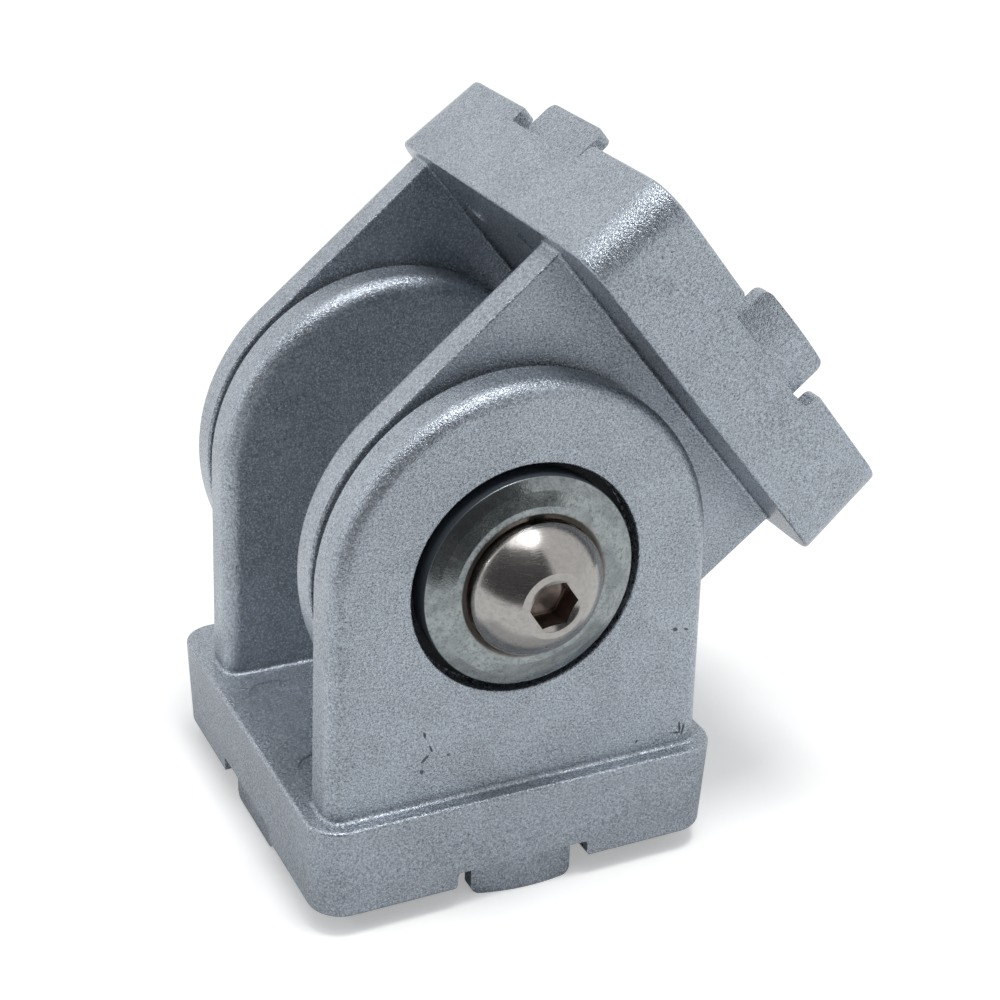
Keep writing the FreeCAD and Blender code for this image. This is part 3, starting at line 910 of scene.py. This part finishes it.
def button_screw(name):
    return grown(
        linked(name, screw_mesh(name)),
        THREAD,
        Core_Radius=THREAD_CORE_RADIUS * MM,
        Ridge_Height=(SHANK_RADIUS - THREAD_CORE_RADIUS - 0.02) * MM,
        Pitch=THREAD_PITCH * MM,
        Turns=THREAD_TURNS,
        Far_End=(HEAD_SEAT + SCREW_LENGTH - THREAD_END_MARGIN) * MM,
        Finish=FINISHES["stainless_screw"],
    )


def spring_washer(name):
    return grown(
        linked(name, bpy.data.meshes.new(name)),
        SPLIT_RING,
        Mean_Radius=(SPRING_WASHER_RADIUS + SPRING_WASHER_BORE) / 2 * MM,
        Width=(SPRING_WASHER_RADIUS - SPRING_WASHER_BORE) * MM,
        Thickness=SPRING_WASHER_THICKNESS * MM,
        Gap=SPRING_WASHER_GAP * MM,
        Slant=SPRING_WASHER_SLANT,
        Corner_Radius=SPRING_WASHER_CORNER * MM,
        Middle_Depth=(COUNTERBORE_FLOOR - POCKET_FLOOR - SPRING_WASHER_THICKNESS / 2) * MM,
        Finish=FINISHES["spring_steel"],
    )


def cup_washer(name):
    return linked(name, cup_washer_mesh(name))


dressed(casting("lower_casting", "lower_body"), "lower_body", "cast_paint")
dressed(casting("upper_casting", "upper_body"), "upper_body", "cast_paint")

# Each side's hardware: how it is made, its name, its node, its finish, and the angle that keeps an edge crisp
HARDWARE = (
    (cup_washer, "zinc_cup_washer", "cup_washer", "zinc_plate", 30),
    (spring_washer, "split_spring_washer", "spring_washer", "spring_steel", 30),
    (button_screw, "button_screw", "clamp_screw", "stainless_screw", 28),
)
for side, on_upper in (("front", False), ("rear", True)):
    for make, name, node, slot, crisp in HARDWARE:
        piece = make(side + "_" + name)
        if on_upper:
            piece.data.transform(as_upper())
        smooth(piece.data, crisp)
        dressed(piece, side + "_" + node, slot)

for node, slot in (("threaded_insert", "insert_steel"), ("friction_disc", "disc_polymer")):
    for side in ("front_", "rear_"):
        piece = frame["nodes"][side + node]
        for index in range(len(piece.material_slots)):
            piece.material_slots[index].material = FINISHES[slot]


# Camera: the photograph's place and angle

CAMERA_PLACE = Vector((-52.880, -118.206, 84.028)) * MM
CAMERA_RIGHT = Vector((0.90469, -0.42511, 0.02848))
CAMERA_UP = Vector((0.15969, 0.40029, 0.90237))


def photo_camera():
    data = bpy.data.cameras.new("photo_camera")
    data.sensor_width = 36
    data.lens = 72.43
    data.clip_start = 0.01
    data.clip_end = 10
    camera = bpy.data.objects.new("photo_camera", data)
    scene.collection.objects.link(camera)
    turned = Matrix((CAMERA_RIGHT, CAMERA_UP, CAMERA_RIGHT.cross(CAMERA_UP))).transposed()
    camera.matrix_world = Matrix.Translation(CAMERA_PLACE) @ turned.to_4x4()
    scene.camera = camera


# Floor, world, lamps and the dark or grey cards that the shiny metal mirrors

# Colours are linear. Lengths here are in metres, but for the two that are written with MM.
FLOOR_HEIGHT = -1.66 * MM
FLOOR_COLOUR = (0.88, 0.87, 0.865, 1)
FLOOR_GLOW = 0.34
FAR_GLOW = 0.45
FAR_START = 0.15
FAR_END = 0.6
SKY_COLOUR = (0.93, 0.98, 1.0, 1)
SKY_STRENGTH = 0.38
LAMP_AIM = Vector((0, 0, 0.02))
CARD_LIFT = 0.05 * MM
UNLIT = (0.135, 0.13, 0.135, 1)
UNLIT_TABLE = (0.11, 0.105, 0.11, 1)
# Grey of the sheet that stands for the floor's shadow under the joint: painted shadow, seen only in
# reflections
MIRRORED_SHADOW_GREY = (0.76, 0.76, 0.77, 1)


def seen_or_mirrored(tree):
    """1 for rays from the camera, and for those that a shiny or clear skin sends on."""
    path = tree.nodes.new("ShaderNodeLightPath")
    seen = math_node(tree, "MAXIMUM", path.outputs["Is Camera Ray"], path.outputs["Is Glossy Ray"])
    return math_node(tree, "MAXIMUM", seen, path.outputs["Is Transmission Ray"])


def studio_floor():
    """White floor, with a glow that rises away from the joint, so that it meets the white world."""
    bpy.ops.mesh.primitive_plane_add(size=6, location=(0, 0, FLOOR_HEIGHT))
    floor = bpy.context.object
    floor.name = "studio_floor"
    material = bpy.data.materials.new("white_studio_floor")
    material.use_nodes = True
    tree = material.node_tree
    tree.nodes.clear()
    out = tree.nodes.new("ShaderNodeOutputMaterial")
    diffuse = tree.nodes.new("ShaderNodeBsdfDiffuse")
    diffuse.inputs["Color"].default_value = FLOOR_COLOUR
    glow = tree.nodes.new("ShaderNodeEmission")
    reach = tree.nodes.new("ShaderNodeVectorMath")
    reach.operation = "LENGTH"
    tree.links.new(object_place(tree), reach.inputs[0])
    far = ramp_between(tree, reach.outputs["Value"], FAR_START, FAR_END)
    strength = math_node(tree, "MULTIPLY_ADD", far, FAR_GLOW, FLOOR_GLOW)
    tree.links.new(math_node(tree, "MULTIPLY", seen_or_mirrored(tree), strength), glow.inputs["Strength"])
    both = tree.nodes.new("ShaderNodeAddShader")
    tree.links.new(diffuse.outputs[0], both.inputs[0])
    tree.links.new(glow.outputs[0], both.inputs[1])
    tree.links.new(both.outputs[0], out.inputs["Surface"])
    floor.data.materials.append(material)


def studio_world():
    """Soft light from all round, and plain white where it is seen."""
    world = bpy.data.worlds.new("white_studio")
    scene.world = world
    world.use_nodes = True
    tree = world.node_tree
    tree.nodes.clear()
    out = tree.nodes.new("ShaderNodeOutputWorld")
    light = tree.nodes.new("ShaderNodeBackground")
    light.inputs["Color"].default_value = SKY_COLOUR
    light.inputs["Strength"].default_value = SKY_STRENGTH
    white = tree.nodes.new("ShaderNodeBackground")
    white.inputs["Color"].default_value = (1, 1, 1, 1)
    white.inputs["Strength"].default_value = 1.0
    mix = tree.nodes.new("ShaderNodeMixShader")
    tree.links.new(seen_or_mirrored(tree), mix.inputs[0])
    tree.links.new(light.outputs[0], mix.inputs[1])
    tree.links.new(white.outputs[0], mix.inputs[2])
    tree.links.new(mix.outputs[0], out.inputs["Surface"])


def soft_lamp(name, place, side, power):
    """Square lamp that points at the joint."""
    data = bpy.data.lights.new(name, "AREA")
    data.shape = "SQUARE"
    data.size = side
    data.energy = power
    lamp = bpy.data.objects.new(name, data)
    scene.collection.objects.link(lamp)
    lamp.location = place
    lamp.rotation_euler = (LAMP_AIM - Vector(place)).to_track_quat("-Z", "Y").to_euler()


def card(name, place, width, height, colour):
    """Matt card that only shiny metal sees, mirrored: it shades neither the object nor the floor."""
    bpy.ops.mesh.primitive_plane_add(size=1)
    sheet = bpy.context.object
    sheet.name = name
    sheet.data.transform(place @ Matrix.Diagonal((width, height, 1, 1)))
    sheet.visible_camera = False
    sheet.visible_shadow = False
    sheet.visible_diffuse = False
    material = bpy.data.materials.new(name)
    material.use_nodes = True
    shader = material.node_tree.nodes["Principled BSDF"]
    shader.inputs["Base Color"].default_value = colour
    shader.inputs["Roughness"].default_value = 0.9
    sheet.data.materials.append(material)


def standing(degrees, distance, middle):
    """Place of a card that stands at a distance from the joint, turned about it, and faces it."""
    stand = Matrix.Translation((0, -distance, middle)) @ Matrix.Rotation(math.pi / 2, 4, "X")
    return Matrix.Rotation(math.radians(degrees), 4, "Z") @ stand


def lying(x, y):
    """Place of a card that lies on the floor."""
    return Matrix.Translation((x, y, FLOOR_HEIGHT + CARD_LIFT))


photo_camera()
studio_floor()
studio_world()
soft_lamp("overhead_lamp", (0.03, -0.113, 0.587), 0.14, 1.15)
soft_lamp("rim_lamp", (-0.5, 0.12, 0.3), 0.08, 0.25)
soft_lamp("overhead_glow", (-0.07, -0.113, 0.6), 0.42, 0.95)
card("unlit_side", standing(-32.5, 0.27, 0.34), 0.7, 0.7, UNLIT)
card("unlit_corner", standing(25, 0.3, 0.022), 0.075, 0.06, UNLIT)
# Painted shadow: a grey sheet under the joint that the metal mirrors as the floor's contact shadow
card("grey_under_joint", lying(0, 0), 0.052, 0.052, MIRRORED_SHADOW_GREY)
card("unlit_table", lying(-0.132, -0.2), 0.31, 0.23, UNLIT_TABLE)

scene.view_settings.view_transform = "Standard"
